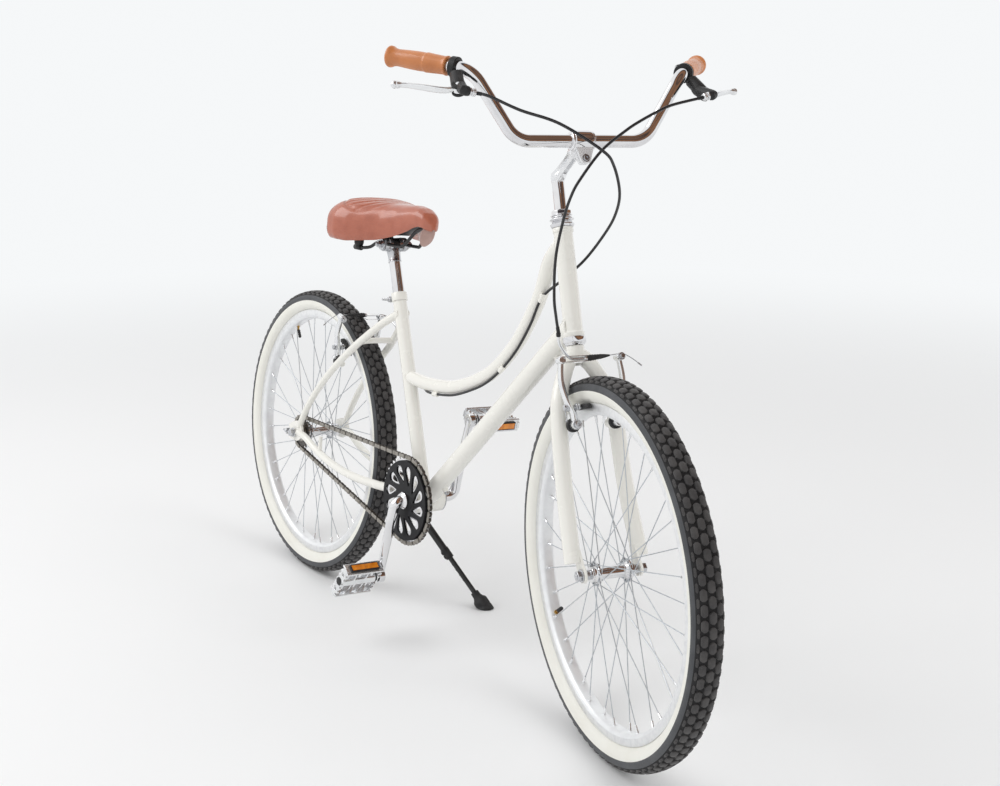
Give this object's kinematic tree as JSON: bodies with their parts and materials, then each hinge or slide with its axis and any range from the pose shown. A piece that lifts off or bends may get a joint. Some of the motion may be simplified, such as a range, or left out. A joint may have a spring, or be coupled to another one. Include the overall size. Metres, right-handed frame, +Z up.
{
  "type": "bicycle",
  "caption": "Step-through city bicycle with a curved top tube, swept handlebar, tan saddle and grips, rim brakes, single-speed chain drive and side stand, parked leaning.",
  "frame": {"origin": "middle of the bounding box on the floor the bicycle stands on", "axes": "+X towards the front wheel along the rear wheel's travel, +Y to the rider's left, +Z up"},
  "size_m": [1.745, 0.6322, 1.1924],
  "materials": {
    "white_paint": "gloss",
    "chrome": "polished",
    "zinc_steel": "satin",
    "alloy": "satin",
    "black_plastic": "satin",
    "black_paint": "satin",
    "rubber": "matte",
    "tyre_rubber": "matte",
    "tan_leatherette": "satin",
    "tan_grip": "satin",
    "dark_steel": "satin"
  },
  "bodies": {
    "frame_body": {"frame": "white_paint", "headset_upper_cup": "chrome", "headset_lower_cup": "chrome", "bottom_bracket_cup_right": "zinc_steel", "bottom_bracket_cup_left": "zinc_steel", "seat_collar": "white_paint", "seat_collar_bolt": "zinc_steel", "rear_axle": "zinc_steel", "stand_bracket": "black_paint", "rear_brake_cable": "black_plastic", "chain": "dark_steel"},
    "seat_body": {"seat_post": "chrome", "seat_clamp": "zinc_steel", "saddle_rails": "black_paint", "saddle_base": "black_plastic", "saddle_cover": "tan_leatherette", "saddle_bumper_right": "rubber", "saddle_bumper_left": "rubber"},
    "steering_body": {"fork": "white_paint", "headset_locknut": "chrome", "stem": "chrome", "stem_clamp_bolt": "zinc_steel", "handlebar": "chrome", "grip_right": "tan_grip", "grip_left": "tan_grip", "lever_bracket_right": "black_plastic", "lever_bracket_left": "black_plastic", "front_axle": "zinc_steel", "front_brake_cable": "black_plastic"},
    "front_wheel_body": {"front_hub_and_spokes": "alloy", "front_rim": "alloy", "front_inner_tube": "rubber", "front_tyre": "tyre_rubber"},
    "rear_wheel_body": {"rear_hub_and_spokes": "alloy", "rear_rim": "alloy", "rear_inner_tube": "rubber", "rear_tyre": "tyre_rubber"},
    "freewheel_body": {"freewheel": "dark_steel"},
    "crank_body": {"crank": "chrome", "chainring": "chrome", "guard_disc": "black_paint", "pedal_spindle_right": "zinc_steel", "pedal_spindle_left": "zinc_steel"},
    "pedal_right_body": {"pedal_right": "alloy"},
    "pedal_left_body": {"pedal_left": "alloy"},
    "brake_lever_right_body": {"brake_lever_right": "alloy"},
    "brake_lever_left_body": {"brake_lever_left": "alloy"},
    "front_arm_right_body": {"front_brake_arm_right": "alloy", "front_brake_pad_right": "rubber", "front_noodle": "zinc_steel"},
    "front_arm_left_body": {"front_brake_arm_left": "alloy", "front_brake_pad_left": "rubber"},
    "rear_arm_right_body": {"rear_brake_arm_right": "alloy", "rear_brake_pad_right": "rubber"},
    "rear_arm_left_body": {"rear_brake_arm_left": "alloy", "rear_brake_pad_left": "rubber", "rear_noodle": "zinc_steel"},
    "stand_leg_body": {"stand_leg": "black_paint"},
    "stand_lower_body": {"stand_lower_leg": "black_paint", "stand_foot": "rubber"}
  },
  "joints": [
    {"name": "steering", "type": "hinge", "parent": "frame_body", "child": "steering_body", "pos_m": [0.50122, -0.05702, 0.31759], "axis": [-0.3071, 0.0923, 0.9472], "range_deg": [-46, 74], "deforming": ["rear_brake_cable"]},
    {"name": "front_wheel_spin", "type": "hinge", "parent": "steering_body", "child": "front_wheel_body", "pos_m": [0.54692, -0.06752, 0.33343], "axis": [0.2305, 0.9729, -0.0201], "continuous": true},
    {"name": "rear_wheel_spin", "type": "hinge", "parent": "frame_body", "child": "rear_wheel_body", "pos_m": [-0.54167, -0.05556, 0.32923], "axis": [0.0003, 0.9953, -0.0969], "continuous": true},
    {"name": "crank_spin", "type": "hinge", "parent": "frame_body", "child": "crank_body", "pos_m": [-0.06156, -0.0591, 0.29444], "axis": [0.0003, 0.9953, -0.0969], "range_deg": [-110, 180]},
    {"name": "freewheel_spin", "type": "hinge", "parent": "frame_body", "child": "freewheel_body", "pos_m": [-0.54167, -0.05556, 0.32923], "axis": [0.0003, 0.9953, -0.0969], "continuous": true},
    {"name": "pedal_right_spin", "type": "hinge", "parent": "crank_body", "child": "pedal_right_body", "pos_m": [-0.09144, -0.15293, 0.13543], "axis": [0.0003, 0.9953, -0.0969], "continuous": true},
    {"name": "pedal_left_spin", "type": "hinge", "parent": "crank_body", "child": "pedal_left_body", "pos_m": [-0.03167, 0.03474, 0.45345], "axis": [0.0003, 0.9953, -0.0969], "continuous": true},
    {"name": "seat_post_slide", "type": "slide", "parent": "frame_body", "child": "seat_body", "axis": [-0.3613, 0.0905, 0.928], "range_m": [-0.055, 0.04]},
    {"name": "brake_lever_right_pull", "type": "hinge", "parent": "steering_body", "child": "brake_lever_right_body", "pos_m": [0.33897, -0.2329, 1.12409], "axis": [-0.4339, 0.3251, -0.8402], "range_deg": [0, 22], "stiffness_Nm_per_rad": 0.6, "springref_deg": -17.19},
    {"name": "brake_lever_left_pull", "type": "hinge", "parent": "steering_body", "child": "brake_lever_left_body", "pos_m": [0.44257, 0.2043, 1.11507], "axis": [0.5414, 0.1284, 0.8309], "range_deg": [0, 22], "stiffness_Nm_per_rad": 0.6, "springref_deg": -17.19},
    {"name": "front_brake_arm_right_swing", "type": "hinge", "parent": "steering_body", "child": "front_arm_right_body", "pos_m": [0.46447, -0.08413, 0.57437], "axis": [-0.9233, 0.2122, -0.32], "range_deg": [0, 5]},
    {"name": "front_brake_arm_left_swing", "type": "hinge", "parent": "steering_body", "child": "front_arm_left_body", "pos_m": [0.48292, -0.0063, 0.57276], "axis": [0.9233, -0.2122, 0.32], "range_deg": [0, 5]},
    {"name": "rear_brake_arm_right_swing", "type": "hinge", "parent": "frame_body", "child": "rear_arm_right_body", "pos_m": [-0.39845, -0.07621, 0.53039], "axis": [-0.9689, 0.0243, 0.2461], "range_deg": [0, 5]},
    {"name": "rear_brake_arm_left_swing", "type": "hinge", "parent": "frame_body", "child": "rear_arm_left_body", "pos_m": [-0.39843, 0.00341, 0.52264], "axis": [0.9689, -0.0243, -0.2461], "range_deg": [0, 5]},
    {"name": "stand_fold", "type": "hinge", "parent": "frame_body", "child": "stand_leg_body", "pos_m": [-0.23694, -0.00867, 0.25661], "axis": [0.2146, 0.8333, 0.5095], "range_deg": [0, 116]},
    {"name": "stand_length_slide", "type": "slide", "parent": "stand_leg_body", "child": "stand_lower_body", "axis": [0.4759, 0.3663, -0.7996], "range_m": [-0.024, 0.05]}
  ],
  "couplings": [
    {"joint": "freewheel_spin", "follows": "crank_spin", "ratio": 2.4444},
    {"joint": "front_brake_arm_right_swing", "follows": "brake_lever_left_pull", "ratio": 0.21},
    {"joint": "front_brake_arm_left_swing", "follows": "brake_lever_left_pull", "ratio": 0.21},
    {"joint": "rear_brake_arm_right_swing", "follows": "brake_lever_right_pull", "ratio": 0.19},
    {"joint": "rear_brake_arm_left_swing", "follows": "brake_lever_right_pull", "ratio": 0.19}
  ]
}
